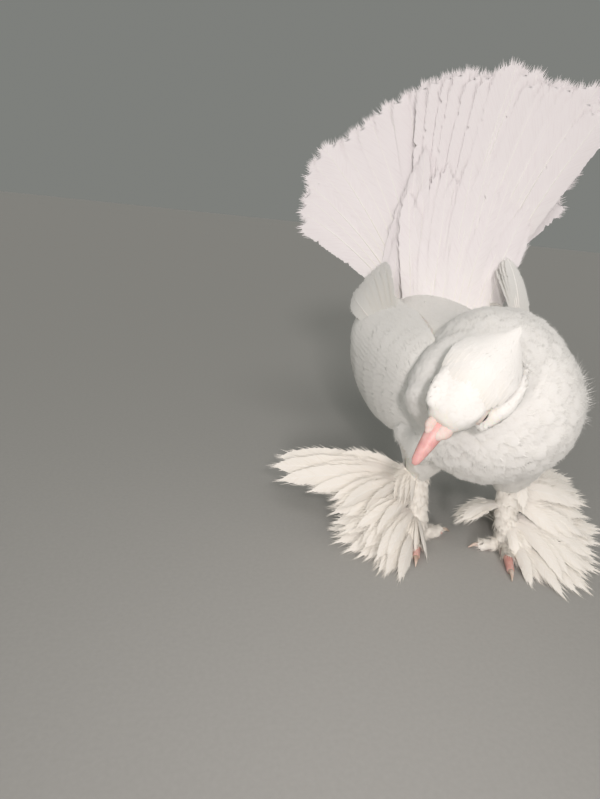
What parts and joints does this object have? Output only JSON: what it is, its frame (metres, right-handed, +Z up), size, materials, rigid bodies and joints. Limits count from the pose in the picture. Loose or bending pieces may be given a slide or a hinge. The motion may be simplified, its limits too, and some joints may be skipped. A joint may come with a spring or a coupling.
{
  "type": "fantail pigeon",
  "caption": "Life-size white fantail pigeon standing on feathered feet, fan tail upright, breast thrown out and peaked head bowed forward; still model.",
  "frame": {"origin": "middle of the bird's bounding box, on the floor that it stands on", "axes": "+Z up, the bird faces -Y, its left side is +X"},
  "size_m": [0.2248, 0.2706, 0.311],
  "materials": {
    "plumage": "soft white feathers",
    "tail_feathers": "white vanes",
    "foot_skin": "pink scaled skin",
    "bill": "satin pink horn",
    "eye": "wet and glossy",
    "claw": "smooth pale horn"
  },
  "bodies": {
    "root": {"head": "plumage", "neck": "plumage", "torso": "plumage", "rump": "plumage", "wing_left": "plumage", "wing_right": "plumage", "thigh_left": "plumage", "thigh_right": "plumage", "tail_rear": "tail_feathers", "tail_front": "tail_feathers", "foot_left": "foot_skin", "foot_right": "foot_skin", "bill_upper": "bill", "bill_lower": "bill", "eye_left": "eye", "eye_right": "eye", "claw_left_middle": "claw", "claw_left_outer": "claw", "claw_left_inner": "claw", "claw_left_hind": "claw", "claw_right_middle": "claw", "claw_right_outer": "claw", "claw_right_inner": "claw", "claw_right_hind": "claw"}
  },
  "joints": []
}
